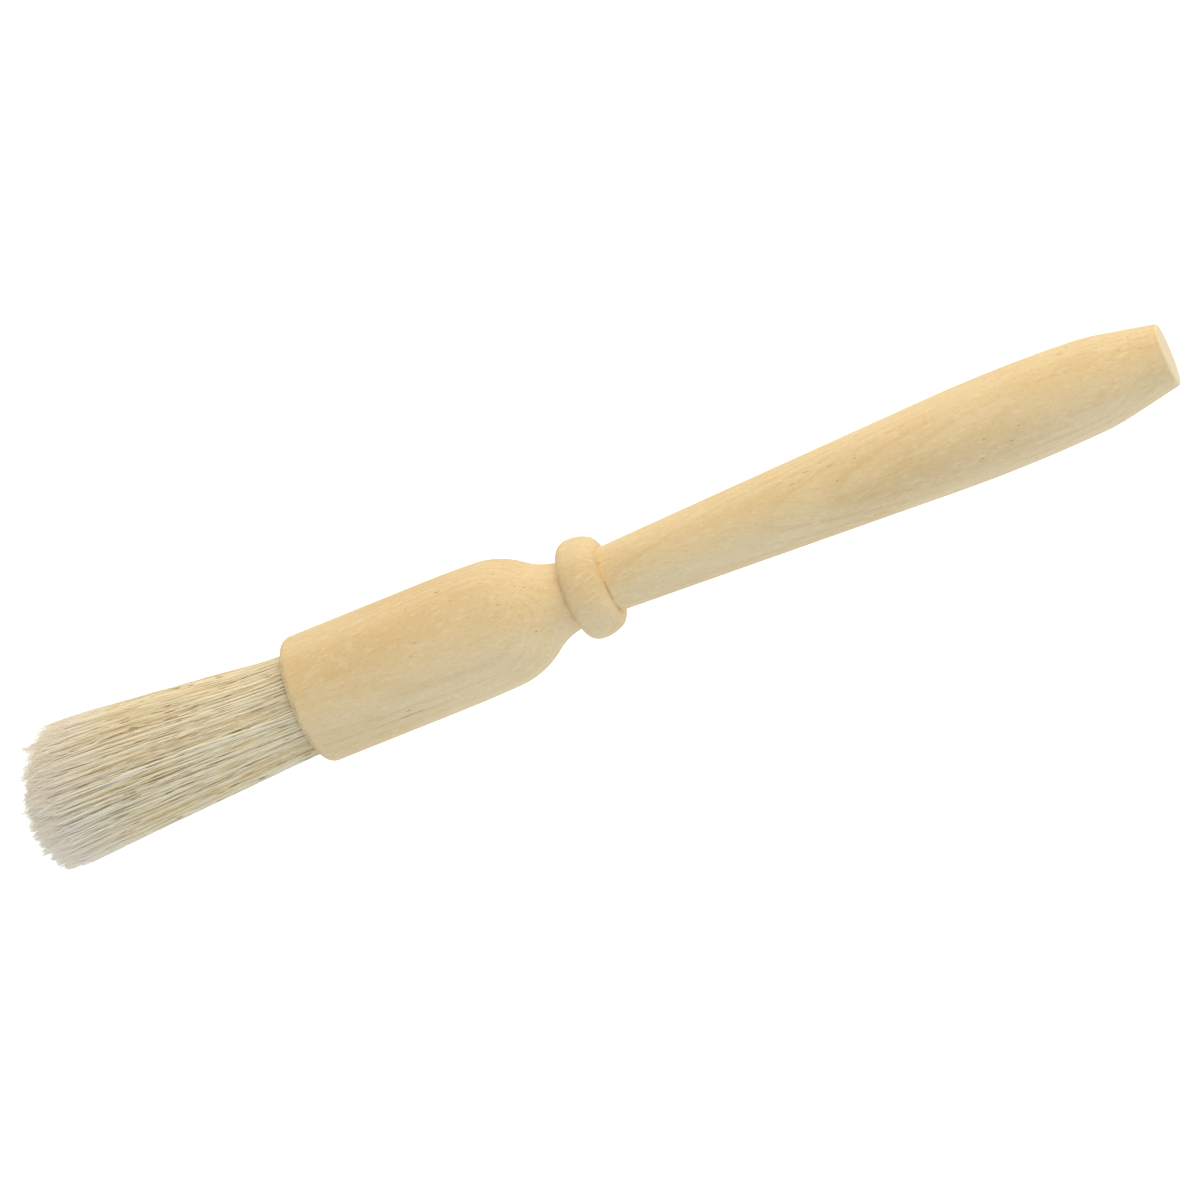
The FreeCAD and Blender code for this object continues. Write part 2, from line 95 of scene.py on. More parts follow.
# where the bead's foot meets the grip, as a share of the handle's length
BEAD_FOOT_SHARE = 0.639
bead_foot_x = BEAD_FOOT_SHARE * mouth_x
socket_floor_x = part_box("bristle_roots")[0].x
toe_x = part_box("bristle_toe")[1].x
knot_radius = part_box("bristle_roots")[1].z
pivots = [joint["pos_m"][0] for joint in frame["joints"]]
bodies = [frame["joints"][0]["parent"]] + [joint["child"] for joint in frame["joints"]]


# ---------------------------------------------------------------- node helpers


class Nodes:
    """A material's node tree, with short calls to add and link nodes."""

    def __init__(self, name):
        self.material = bpy.data.materials.new(name)
        self.material.use_nodes = True
        self.tree = self.material.node_tree
        self.shader = self.tree.nodes["Principled BSDF"]

    def add(self, kind, **settings):
        node = self.tree.nodes.new(kind)
        for key, value in settings.items():
            setattr(node, key, value)
        return node

    def feed(self, socket, value):
        if isinstance(value, bpy.types.NodeSocket):
            self.tree.links.new(value, socket)
        else:
            socket.default_value = value

    def place(self):
        return self.add("ShaderNodeTexCoord").outputs["Object"]

    def stretch(self, vector, scale, shift=(0, 0, 0)):
        node = self.add("ShaderNodeMapping")
        self.feed(node.inputs["Vector"], vector)
        node.inputs["Scale"].default_value = scale
        node.inputs["Location"].default_value = shift
        return node.outputs["Vector"]

    def noise(self, vector, scale, detail, roughness=0.5):
        node = self.add("ShaderNodeTexNoise")
        self.feed(node.inputs["Vector"], vector)
        node.inputs["Scale"].default_value = scale
        node.inputs["Detail"].default_value = detail
        node.inputs["Roughness"].default_value = roughness
        return node.outputs["Fac"]

    def grain(self, place, along, across, detail, roughness=0.5, shift=(0, 0, 0)):
        """Noise drawn out along the brush: so many cells a metre along it and across it."""
        vector = self.stretch(place, (along, across, across), shift)
        return self.noise(vector, 1.0, detail, roughness)

    def maths(self, operation, first, second=0.0, third=0.0):
        node = self.add("ShaderNodeMath", operation=operation)
        for socket, value in zip(node.inputs, (first, second, third)):
            self.feed(socket, value)
        return node.outputs[0]

    def ramp(self, value, low, high, out_low=0.0, out_high=1.0):
        node = self.add("ShaderNodeMapRange", interpolation_type="SMOOTHSTEP")
        self.feed(node.inputs["Value"], value)
        node.inputs["From Min"].default_value = low
        node.inputs["From Max"].default_value = high
        node.inputs["To Min"].default_value = out_low
        node.inputs["To Max"].default_value = out_high
        return node.outputs["Result"]

    def mix(self, factor, first, second):
        node = self.add("ShaderNodeMix", data_type="RGBA")
        self.feed(node.inputs["Factor"], factor)
        self.feed(node.inputs["A"], first)
        self.feed(node.inputs["B"], second)
        return node.outputs["Result"]

    def times(self, first, second):
        return self.maths("MULTIPLY", first, second)

    def attribute(self, name):
        return self.add("ShaderNodeAttribute", attribute_name=name).outputs["Fac"]

    def bump(self, height, distance, strength, normal=None):
        node = self.add("ShaderNodeBump")
        self.feed(node.inputs["Height"], height)
        node.inputs["Distance"].default_value = distance
        node.inputs["Strength"].default_value = strength
        if normal is not None:
            self.feed(node.inputs["Normal"], normal)
        return node.outputs["Normal"]


def shade(red, green, blue):
    """A colour from screen values 0 to 255, as the linear values that a shader reads."""

    def linear(value):
        value /= 255
        return value / 12.92 if value <= 0.04045 else ((value + 0.055) / 1.055) ** 2.4

    return (linear(red), linear(green), linear(blue), 1.0)


# ---------------------------------------------------------------- materials


# the pith lies below the handle and askew to it, so that the growth rings meet the grip's
# curved top in nested arches
PITH_SIDE = 4 * MM
PITH_DEPTH = 30 * MM
PITH_SLOPE = -0.038
RING_WANDER = 1.6 * MM
RINGS_PER_METRE = 900.0
# how strongly each mark shows: 0 for not at all, 1 for its own colour
LATE_WOOD_SHOWS = 0.19
FIBRES_SHOW = 0.22
SPECKLE_SHOWS = 0.4
PORES_SHOW = 0.2
FLECKS_SHOW = 0.6
END_FACE_HIGHLIGHT_SHOWS = 0.65
CREASE_SHADE_SHOWS = 0.28
# painted shade: broken dark lines painted at the mouth's rim and in the crease at the bead's
# foot, where shade falls: how far back from the mouth the rim's is, and half the width of each
RIM_LINE_BACK = 0.7 * MM
RIM_LINE_HALF = 0.35 * MM
FOOT_LINE_HALF = 0.4 * MM
# lines stop at this distance from the axis: the rim's never, the foot's short of the bead
RIM_LINE_REACH = 2 * head_radius
FOOT_LINE_REACH = 0.53 * head_radius


def growth_rings(nodes, place, x, y, z):
    """Where late wood shows, 0 to 1: the last, darker part of each ring, here and there."""
    wander = nodes.grain(place, 14, 90, 2.0)
    ring_y = nodes.maths("ADD", y, PITH_SIDE)
    ring_z = nodes.maths("ADD", nodes.maths("MULTIPLY_ADD", x, PITH_SLOPE, z), PITH_DEPTH)
    squares = nodes.maths(
        "ADD", nodes.maths("POWER", ring_y, 2.0), nodes.maths("POWER", ring_z, 2.0)
    )
    distance = nodes.maths("MULTIPLY_ADD", wander, RING_WANDER, nodes.maths("SQRT", squares))
    phase = nodes.maths("FRACT", nodes.times(distance, RINGS_PER_METRE))
    late_wood = nodes.times(nodes.ramp(phase, 0.45, 0.93), nodes.ramp(phase, 1.0, 0.93))
    uneven = nodes.grain(place, 30, 130, 1.0, shift=(5.0, 1.0, 2.0))
    return nodes.times(late_wood, nodes.ramp(uneven, 0.35, 0.65))


def dark_flecks(nodes, place):
    """Rare flecks, a millimetre or two long, 0 to 1."""
    fleck = nodes.grain(place, 480, 2600, 0.0, shift=(3.1, 1.7, 0.4))
    where = nodes.grain(place, 60, 160, 0.0, shift=(9.0, 2.0, 4.0))
    return nodes.times(nodes.ramp(fleck, 0.79, 0.84), nodes.ramp(where, 0.61, 0.67))


def painted_crease_shade(nodes, place, x, colour):
    """The colour with painted shade: broken dark lines at the mouth's rim and at the bead's
    foot.
    """
    broken = nodes.ramp(nodes.grain(place, 100, 420, 2.0), 0.42, 0.6)
    from_axis = nodes.add("ShaderNodeVectorMath", operation="LENGTH")
    nodes.feed(from_axis.inputs[0], nodes.stretch(place, (0, 1, 1)))
    from_axis = from_axis.outputs["Value"]
    for line_x, half_width, reach in (
        (mouth_x - RIM_LINE_BACK, RIM_LINE_HALF, RIM_LINE_REACH),
        (bead_foot_x, FOOT_LINE_HALF, FOOT_LINE_REACH),
    ):
        away = nodes.maths("ABSOLUTE", nodes.maths("SUBTRACT", x, line_x))
        line = nodes.times(nodes.ramp(away, half_width, 0.5 * half_width), broken)
        line = nodes.times(line, nodes.ramp(from_axis, reach, 0.97 * reach))
        colour = nodes.mix(nodes.times(line, CREASE_SHADE_SHOWS), colour, shade(142, 110, 66))
    return colour


def wood_material():
    """Pale close-grained wood: faint growth rings, fibres, short flecks, turning marks, painted
    shade at the rim and the bead's foot, and a painted highlight on the butt's end face.
    """
    nodes = Nodes("pale_turned_wood")
    place = nodes.place()
    split = nodes.add("ShaderNodeSeparateXYZ")
    nodes.feed(split.inputs[0], place)
    x, y, z = split.outputs

    blotches = nodes.ramp(nodes.grain(place, 25, 110, 3.0), 0.3, 0.7)
    late_wood = nodes.times(growth_rings(nodes, place, x, y, z), LATE_WOOD_SHOWS)
    fibres = nodes.grain(place, 60, 1500, 4.0, 0.6)
    dark_fibres = nodes.ramp(fibres, 0.5, 0.78, 0.0, FIBRES_SHOW)
    speckle = nodes.ramp(nodes.grain(place, 420, 1300, 2.0, 0.6), 0.5, 0.72, 0.0, SPECKLE_SHOWS)
    pores = nodes.ramp(nodes.grain(place, 1100, 3200, 1.0), 0.5, 0.75, 0.0, PORES_SHOW)
    flecks = nodes.times(dark_flecks(nodes, place), FLECKS_SHOW)
    # the butt's end face is painted paler: a painted highlight
    end_face_highlight = nodes.ramp(x, 0.45 * MM, 0.15 * MM, 0.0, END_FACE_HIGHLIGHT_SHOWS)

    colour = nodes.mix(blotches, shade(231, 205, 153), shade(241, 219, 172))
    colour = nodes.mix(late_wood, colour, shade(204, 162, 100))
    colour = nodes.mix(dark_fibres, colour, shade(205, 172, 120))
    colour = nodes.mix(speckle, colour, shade(250, 232, 192))
    colour = nodes.mix(pores, colour, shade(196, 162, 108))
    colour = nodes.mix(flecks, colour, shade(112, 84, 50))
    # painted highlight on the butt's end face
    colour = nodes.mix(end_face_highlight, colour, shade(252, 238, 204))
    # painted shade: dark lines at the mouth's rim and in the crease at the bead's foot
    colour = painted_crease_shade(nodes, place, x, colour)
    nodes.feed(nodes.shader.inputs["Base Color"], colour)
    nodes.feed(nodes.shader.inputs["Roughness"], nodes.ramp(fibres, 0.3, 0.7, 0.46, 0.62))
    nodes.feed(nodes.shader.inputs["Specular IOR Level"], 0.35)

    turning = nodes.grain(place, 2600, 20, 2.0, 0.7)
    normal = nodes.bump(turning, 0.05 * MM, 0.35)
    normal = nodes.bump(fibres, 0.06 * MM, 0.4, normal)
    nodes.feed(nodes.shader.inputs["Normal"], normal)
    return nodes.material


# a hair's own noise: stretches from mouth to tip, how far apart two hairs read it, and how
# much it moves the tone
STRETCHES_PER_HAIR = 10.0
CHANCE_SPREAD = 900.0
PATCHINESS = 0.6


def bristle_material():
    """Natural bristle: cream hairs, some golden or white, paler and clearer at the tips; painted
    shade near the mouth and between hairs, painted light deep in the bundle.
    """
    nodes = Nodes("natural_bristle")
    tone, along = nodes.attribute("tone"), nodes.attribute("along")
    depth, chance = nodes.attribute("depth"), nodes.attribute("chance")

    # each hair has its own run of paler and darker stretches
    run = nodes.add("ShaderNodeCombineXYZ")
    nodes.feed(run.inputs["X"], nodes.times(along, STRETCHES_PER_HAIR))
    nodes.feed(run.inputs["Y"], nodes.times(chance, CHANCE_SPREAD))
    patchy = nodes.noise(run.outputs[0], 1.0, 1.0)
    tone = nodes.maths("MULTIPLY_ADD", nodes.maths("SUBTRACT", patchy, 0.5), PATCHINESS, tone)
    colour = nodes.mix(nodes.ramp(tone, 0.0, 0.4), shade(240, 219, 170), shade(252, 243, 213))
    colour = nodes.mix(nodes.ramp(tone, 0.35, 0.85), colour, shade(254, 249, 228))
    # golden stretches: partly the hairs' own colour, partly painted shade for the gaps between
    # hairs
    golden_and_gap_shade = nodes.times(nodes.ramp(patchy, 0.36, 0.26, 0.0, 0.95), nodes.ramp(along, 0.95, 0.7))
    # painted shade: hairs darker near the mouth, where they go into the socket
    mouth_shade = nodes.ramp(along, 0.2, 0.0, 0.0, 0.35)
    # painted light: hairs deep in the bundle painted near-white, so that the bundle looks as
    # bright as translucent bristle
    inner_painted_light = nodes.ramp(depth, 0.0, 0.5, 0.0, 0.9)
    near_tip = nodes.ramp(along, 0.62, 0.95, 0.0, 0.75)
    colour = nodes.mix(golden_and_gap_shade, colour, shade(166, 134, 72))
    colour = nodes.mix(mouth_shade, colour, shade(228, 216, 184))
    colour = nodes.mix(inner_painted_light, colour, shade(254, 249, 224))
    colour = nodes.mix(near_tip, colour, shade(252, 248, 240))
    nodes.feed(nodes.shader.inputs["Base Color"], colour)
    nodes.feed(nodes.shader.inputs["Roughness"], nodes.ramp(patchy, 0.3, 0.7, 0.55, 0.68))
    nodes.feed(nodes.shader.inputs["Specular IOR Level"], 0.18)
    return nodes.material


def resin_material():
    """Amber setting resin with a few trapped bubbles."""
    nodes = Nodes("setting_resin")
    place = nodes.place()
    cloud = nodes.noise(place, 400.0, 3.0)
    bubbles = nodes.bump(nodes.noise(place, 2500.0, 3.0), 0.1 * MM, 0.5)
    colour = nodes.mix(cloud, shade(120, 74, 26), shade(176, 122, 58))
    nodes.feed(nodes.shader.inputs["Base Color"], colour)
    nodes.feed(nodes.shader.inputs["Roughness"], nodes.ramp(cloud, 0.3, 0.7, 0.12, 0.3))
    nodes.feed(nodes.shader.inputs["Normal"], bubbles)
    return nodes.material


def twine_material():
    """Waxed cotton twine with its ply twist."""
    nodes = Nodes("waxed_twine")
    place = nodes.place()
    ply = nodes.grain(place, 2600, 900, 2.0)
    colour = nodes.mix(nodes.ramp(ply, 0.35, 0.65), shade(168, 146, 108), shade(222, 208, 176))
    nodes.feed(nodes.shader.inputs["Base Color"], colour)
    nodes.feed(nodes.shader.inputs["Roughness"], nodes.ramp(ply, 0.3, 0.7, 0.6, 0.85))
    nodes.feed(nodes.shader.inputs["Normal"], nodes.bump(ply, 0.12 * MM, 0.8))
    return nodes.material


def paint_nodes():
    """Gives the carried-over CAD nodes their finished materials."""
    for name, material in (
        ("handle", wood_material()),
        ("setting_resin", resin_material()),
        ("binding_twine", twine_material()),
    ):
        node = frame["nodes"][name]
        node.data.materials.clear()
        node.data.materials.append(material)


# ---------------------------------------------------------------- the bristles

HAIRS = 7600
# hairs belong to tufts, which share a point at the toe, and tufts to locks
LOCKS = 70
TUFTS = 240
GOLDEN_TURN = math.pi * (3 - math.sqrt(5))
FREE = toe_x - mouth_x

# one hair: a tube with three sides, thinner towards its tip
SIDES = 3
HAIR_RADIUS = 0.105 * MM
TAPER = 0.3
TIP_TAPER = 0.7
TIP_RINGS = (0.4, 0.75, 0.92, 1.0)
SHORTEST_TIP = 0.8 * MM
RINGS_PER_BEND = 4
BENDING_NODES = ("bristle_heel", "bristle_lower_belly", "bristle_upper_belly", "bristle_toe")

# the roots fill the knot but for a thin margin; the jitters move them off an even pattern
ROOT_RADIUS = knot_radius - 0.25 * MM
ROOT_JITTER = 0.09 * MM
LOCK_JITTER = 0.5 * MM
TUFT_JITTER = 0.22 * MM

# how far hairs lean across the bundle, in millimetres for each millimetre along it
LOCK_LEAN = 0.004
TUFT_LEAN = 0.005
HAIR_LEAN = 0.026
STRAY_SHARE = 0.06
STRAY_LEAN = 2.5
STRAY_THINNESS = 0.8
# how far a hair waves sideways, and how far it dives under its neighbours, with the number
# of turns of each from mouth to toe
WAVE_SIZE = 0.22 * MM
WAVE_TURNS = (0.8, 3.6)
DIVE_SIZES = (0.1 * MM, 0.5 * MM)
DIVE_TURNS = (1.2, 4.0)
# what share of the way hairs close up: to their lock at one place, at most; to their tuft
# all along; and to their tuft at the tips, over the length of its point
LOCK_PULL = 0.06
TUFT_PULL = 0.05
TIP_PULL = 0.75
POINT_LENGTH = 5 * MM

# tone: 0 is deep cream, 1 is nearly white
MEAN_TONE = 0.55
HAIR_TONE = 0.2
TUFT_TONE = 0.05
LOCK_TONE = 0.03
WHITE_SHARE = 0.04
DEEP_SHARE = 0.04

# the flare, worked out in millimetres: the hairs leave the mouth parallel, spread, and
# spread less towards the toe
PARALLEL_RUN = 4.0
SPREAD_PER_MM = 0.0108
SPREAD_LOSS_PER_MM = 0.0040
# the whole bundle sits a little to one side at the mouth and leans to the other
SIDE_AT_MOUTH = 0.2 * MM
SIDE_LEAN = 0.85 * MM
LEAN_RUN = 42 * MM

# the toe: a dome, tilted so that one side is worn back, and more ragged on that side
TOE_GAP = 0.6 * MM
TOE_OVERRUN = 0.5 * MM
DOME_HEIGHT = 5.0 * MM
DOME_POWER = 2.2
DOME_TILT = 2.5 * MM
WORN_SIDE_RAGGED = 2.8
TUFT_STEP = 0.45 * MM
LOCK_STEP = 0.3 * MM
# how much shorter than its tuft a hair is: on average, at most, and for each millimetre
# that it stands from the tuft's centre
MEAN_SHORTNESS = 0.4 * MM
MOST_SHORTNESS = 6 * MM
POINT_SLOPE = 1.5


def smooth(value, low, high):
    step = np.clip((value - low) / (high - low), 0, 1)
    return step * step * (3 - 2 * step)


def sunflower(count, radius, jitter):
    """Evenly spread points over a disc, each moved a little."""
    number = np.arange(count) + 0.5
    distance = radius * np.sqrt(number / count)
    angle = number * GOLDEN_TURN
    points = np.stack([distance * np.cos(angle), distance * np.sin(angle)], 1)
    return points + rng.normal(0, jitter, points.shape)


def nearest(points, centres):
    gaps = ((points[:, None, :] - centres[None, :, :]) ** 2).sum(2)
    return gaps.argmin(1)


def widening(beyond):
    """How many times wider the bundle is this far beyond the mouth (metres)."""
    run = np.clip(beyond / MM, 0, None)
    freed = run - PARALLEL_RUN * (1 - np.exp(-run / PARALLEL_RUN))
    return 1 + SPREAD_PER_MM * freed * (1 - SPREAD_LOSS_PER_MM * run)


class Bundle:
    """Every hair's root, path, length, thickness and tone."""

    def __init__(self):
        self.root = sunflower(HAIRS, ROOT_RADIUS, ROOT_JITTER)
        distance = np.linalg.norm(self.root, axis=1)
        self.root *= np.minimum(1, ROOT_RADIUS / distance)[:, None]
        self.share = np.minimum(distance / ROOT_RADIUS, 1)

        self.lock_root = sunflower(LOCKS, ROOT_RADIUS, LOCK_JITTER)
        self.tuft_root = sunflower(TUFTS, ROOT_RADIUS, TUFT_JITTER)
        self.tuft = nearest(self.root, self.tuft_root)
        self.lock = nearest(self.tuft_root, self.lock_root)[self.tuft]

        self.spin = rng.uniform(0, 2 * math.pi, HAIRS)
        self.chance = rng.random(HAIRS)
        self.lock_lean = rng.normal(0, LOCK_LEAN, (LOCKS, 2))
        self.tuft_lean = rng.normal(0, TUFT_LEAN, (TUFTS, 2))
        self.hair_lean = rng.normal(0, HAIR_LEAN, (HAIRS, 2))
        stray = rng.random(HAIRS) < STRAY_SHARE
        self.hair_lean[stray] *= STRAY_LEAN
        self.wave_size = rng.normal(0, WAVE_SIZE, (HAIRS, 2))
        self.wave_turns = rng.uniform(*WAVE_TURNS, HAIRS)
        self.wave_start = rng.uniform(0, 2 * math.pi, HAIRS)
        self.dive_size = rng.uniform(*DIVE_SIZES, HAIRS)
        self.dive_turns = rng.uniform(*DIVE_TURNS, HAIRS)
        self.dive_start = rng.uniform(0, 2 * math.pi, HAIRS)
        self.pull_place = rng.uniform(0.15, 0.95, LOCKS)
        self.pull_reach = rng.uniform(0.25, 0.6, LOCKS)
        self.lock_pull = rng.uniform(0, LOCK_PULL, LOCKS)
        self.thickness = rng.uniform(0.7, 1.3, HAIRS)
        self.thickness[stray] *= STRAY_THINNESS
        self.set_tones(stray)
        self.set_tips()

    def set_tones(self, stray):
        tone = MEAN_TONE + rng.normal(0, HAIR_TONE, HAIRS)
        tone += rng.normal(0, TUFT_TONE, TUFTS)[self.tuft]
        tone += rng.normal(0, LOCK_TONE, LOCKS)[self.lock]
        tone = np.clip(tone, 0, 0.9)
        pick = rng.random(HAIRS)
        tone[pick < WHITE_SHARE] = 1.2
        tone[pick > 1 - DEEP_SHARE] = 0.0
        tone[stray] = np.maximum(tone[stray], 0.8)
        self.tone = tone

    def set_tips(self):
        """The toe is a dome, a little askew, and each tuft ends in a ragged point."""
        across = self.root[:, 0] / ROOT_RADIUS
        dome = -DOME_HEIGHT * self.share**DOME_POWER + DOME_TILT * across
        ragged = 1 + WORN_SIDE_RAGGED * smooth(-across, 0.4, 0.9)
        tuft_step = ragged * rng.normal(0, TUFT_STEP, TUFTS)[self.tuft]
        lock_step = rng.normal(0, LOCK_STEP, LOCKS)[self.lock]
        off_centre = np.linalg.norm(self.root - self.tuft_root[self.tuft], axis=1)
        short = ragged * rng.exponential(MEAN_SHORTNESS, HAIRS)
        tip = toe_x - TOE_GAP + dome + tuft_step + lock_step
        tip -= POINT_SLOPE * off_centre + np.minimum(short, MOST_SHORTNESS)
        self.tip = np.minimum(tip, toe_x + TOE_OVERRUN)

    def path(self, x):
        """Where each hair is across the bundle, at this distance along the brush."""
        beyond = np.clip(x - mouth_x, 0, None)
        out = beyond / FREE
        wide = widening(beyond)[:, None]
        hair_path = self.leaning(x, out, wide, beyond[:, None])

        wave = np.sin(self.wave_start + 2 * math.pi * self.wave_turns * out)
        wave -= np.sin(self.wave_start)
        hair_path = hair_path + self.wave_size * wave[:, None] * smooth(out, 0, 0.4)[:, None]

        hair_path = self.kept_in(hair_path, out, wide[:, 0])
        hair_path[:, 0] += SIDE_AT_MOUTH - SIDE_LEAN * smooth(beyond, 0, LEAN_RUN)
        return hair_path

    def leaning(self, x, out, wide, run):
        """Each hair with the flare and its own lean, drawn in to its tuft and its lock."""
        lock_lean = self.lock_lean[self.lock]
        lock_path = self.lock_root[self.lock] * wide + lock_lean * run
        tuft_path = self.tuft_root[self.tuft] * wide
        tuft_path = tuft_path + (self.tuft_lean[self.tuft] + lock_lean) * run
        hair_path = self.root * wide + (self.hair_lean + lock_lean) * run

        near_tip = smooth(x, self.tip - POINT_LENGTH, self.tip)
        tuft_pull = TUFT_PULL * smooth(out, 0.02, 0.35) + TIP_PULL * near_tip
        hair_path = hair_path + (tuft_path - hair_path) * tuft_pull[:, None]
        away = (out - self.pull_place[self.lock]) / self.pull_reach[self.lock]
        lock_pull = self.lock_pull[self.lock] * np.exp(-(away**2)) * smooth(out, 0.0, 0.3)
        return hair_path + (lock_path - hair_path) * lock_pull[:, None]

    def kept_in(self, hair_path, out, wide):
        """Outer hairs keep near the flared cone but for their dives, and none leaves it."""
        reach = np.linalg.norm(hair_path, axis=1)
        wanted = np.linalg.norm(self.root, axis=1) * wide
        dive = 1 + np.sin(self.dive_start + 2 * math.pi * self.dive_turns * out)
        wanted -= self.dive_size * dive / 2 * smooth(out, 0.0, 0.12)
        outer = 0.8 * smooth(self.share, 0.7, 0.97)
        edge = ROOT_RADIUS * wide * 1.01
        kept = np.minimum(reach + (wanted - reach) * outer, edge)
        return hair_path * (kept / np.maximum(reach, 1e-9))[:, None]


def ring_planes(bundle, stations, to_tips):
    """Where along the brush each ring of every hair's tube lies."""
    planes = [np.full(HAIRS, x) for x in stations]
    if to_tips:
        last = stations[-1]
        left = np.maximum(bundle.tip - last, SHORTEST_TIP)
        planes += [last + left * part for part in TIP_RINGS]
    return planes


def tube_faces(rings):
    """Corner numbers of every hair's wall faces and of its two end faces."""
    corner = np.arange(HAIRS * rings * SIDES).reshape(HAIRS, rings, SIDES)
    ahead = np.roll(corner, -1, axis=2)
    walls = np.stack([corner[:, :-1], ahead[:, :-1], ahead[:, 1:], corner[:, 1:]], axis=-1)
    ends = np.concatenate([corner[:, 0, ::-1], corner[:, -1]])
    return walls.reshape(-1, 4), ends


def mesh_from_faces(name, points, walls, ends):
    mesh = bpy.data.meshes.new(name)
    mesh.vertices.add(len(points))
    mesh.vertices.foreach_set("co", points.astype(np.float32).ravel())
    loops = np.concatenate([walls.ravel(), ends.ravel()])
    sizes = np.concatenate([np.full(len(walls), 4), np.full(len(ends), SIDES)])
    mesh.loops.add(len(loops))
    mesh.loops.foreach_set("vertex_index", loops.astype(np.int32))
    mesh.polygons.add(len(sizes))
    mesh.polygons.foreach_set("loop_start", (np.cumsum(sizes) - sizes).astype(np.int32))
    mesh.update(calc_edges=True)
    # flat faces: rounded shading on so thin a prism would swallow light
    mesh.polygons.foreach_set("use_smooth", np.zeros(len(sizes), bool))
    return mesh


def hair_piece(name, bundle, stations, to_tips=False):
    """One stretch of every hair, as closed three-sided tubes, from station to station."""
    planes = ring_planes(bundle, stations, to_tips)
    rings = len(planes)
    points = np.zeros((HAIRS, rings, SIDES, 3))
    along = np.zeros((HAIRS, rings))
    for ring, x in enumerate(planes):
        centre = bundle.path(x)
        share_out = np.clip((x - mouth_x) / (bundle.tip - mouth_x), 0, 1)
        radius = HAIR_RADIUS * bundle.thickness * (1 - TAPER * share_out)
        radius = radius * (1 - TIP_TAPER * smooth(share_out, 0.88, 1.0))
        for side in range(SIDES):
            angle = bundle.spin + side * 2 * math.pi / SIDES
            points[:, ring, side, 0] = x
            points[:, ring, side, 1] = centre[:, 0] + radius * np.cos(angle)
            points[:, ring, side, 2] = centre[:, 1] + radius * np.sin(angle)
        along[:, ring] = share_out

    walls, ends = tube_faces(rings)
    mesh = mesh_from_faces(name, points.reshape(-1, 3), walls, ends)
    per_hair = rings * SIDES
    for label, values in (
        ("tone", np.repeat(bundle.tone, per_hair)),
        ("chance", np.repeat(bundle.chance, per_hair)),
        ("along", np.repeat(along.ravel(), SIDES)),
        ("depth", np.repeat(smooth(1 - bundle.share, 0.08, 0.5), per_hair)),
    ):
        attribute = mesh.attributes.new(label, "FLOAT", "POINT")
        attribute.data.foreach_set("value", values.astype(np.float32))
    piece = bpy.data.objects.new(name, mesh)
    bpy.context.scene.collection.objects.link(piece)
    return piece


def make_bristles():
    """The hairs, cut midway between the joints' pivots, so that each middle piece spans one
    pivot.
    """
    bundle = Bundle()
    material = bristle_material()
    half = (pivots[1] - pivots[0]) / 2
    roots_end, tips_start = pivots[0] - half, pivots[-1] + half
    roots = hair_piece("hair_roots", bundle, [socket_floor_x, roots_end])
    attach(roots, bodies[0])
    tips = hair_piece("hair_tips", bundle, [tips_start], to_tips=True)
    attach(tips, bodies[-1])
    pieces = [(roots, "bristle_roots"), (tips, "bristle_toe")]
    for number, cad_node in enumerate(BENDING_NODES):
        start, end = pivots[number] - half, pivots[number] + half
        name = cad_node.replace("bristle", "hair")
        piece = hair_piece(name, bundle, list(np.linspace(start, end, RINGS_PER_BEND)))
        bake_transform(piece)
        pieces.append((piece, cad_node))
    for piece, cad_node in pieces:
        piece.data.materials.append(material)
        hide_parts(cad_node)


# ---------------------------------------------------------------- floor, light and camera

FLOOR_DROP = 40 * MM
FLOOR_HALF_WIDTH = 3.0
FLOOR_COLOUR = (0.9, 0.9, 0.9, 1)
FLOOR_GLOW = 0.25
WORLD_COLOUR = (0.96, 0.98, 1.0, 1)
WORLD_GLOW = 0.42
# the camera sees floor and world this much brighter than the brush does: both turn out white
SEEN_GLOW = 0.5
# each one's name, place, width, power in watts and colour
SOFTBOXES = (
    ("warm_softbox", (-0.25, -0.7, 0.38), 0.9, 3.1, (1.0, 0.795, 0.5)),
    ("cool_softbox", (0.1, 0.75, 0.2), 0.9, 2.0, (0.57, 0.74, 1.03)),
    ("top_softbox", (-0.25, -0.2, 0.9), 1.0, 2.6, (1.0, 0.96, 0.92)),
    ("toe_softbox", (1.05, 0.0, 0.12), 0.9, 1.5, (1.0, 0.98, 0.94)),
)
SOFTBOX_SHAPE = 0.6
# the brush crosses the picture askew, seen from above and a little from the butt's end
PICTURE_ANGLE = math.radians(21.9)
CAMERA_TILT = math.radians(12.5)
CAMERA_DISTANCE = 4.6 * length
LENS = 174.0
SENSOR_WIDTH = 36.0
NEAREST_SEEN = 50 * MM
PICTURE_CENTRE = middle + Vector((-1.9 * MM, 2.8 * MM, 0))


def make_floor():
    size = FLOOR_HALF_WIDTH
    mesh = bpy.data.meshes.new("floor")
    corners = [(-size, -size, 0), (size, -size, 0), (size, size, 0), (-size, size, 0)]
    mesh.from_pydata(corners, [], [(0, 1, 2, 3)])
    floor = bpy.data.objects.new("floor", mesh)
    floor.location = (middle.x, middle.y, -FLOOR_DROP)
    bpy.context.scene.collection.objects.link(floor)
    nodes = Nodes("white_floor")
    seen = nodes.add("ShaderNodeLightPath").outputs["Is Camera Ray"]
    nodes.feed(nodes.shader.inputs["Base Color"], FLOOR_COLOUR)
    nodes.feed(nodes.shader.inputs["Roughness"], 0.9)
    nodes.feed(nodes.shader.inputs["Emission Color"], (1, 1, 1, 1))
    glow = nodes.maths("MULTIPLY_ADD", seen, SEEN_GLOW, FLOOR_GLOW)
    nodes.feed(nodes.shader.inputs["Emission Strength"], glow)
    mesh.materials.append(nodes.material)


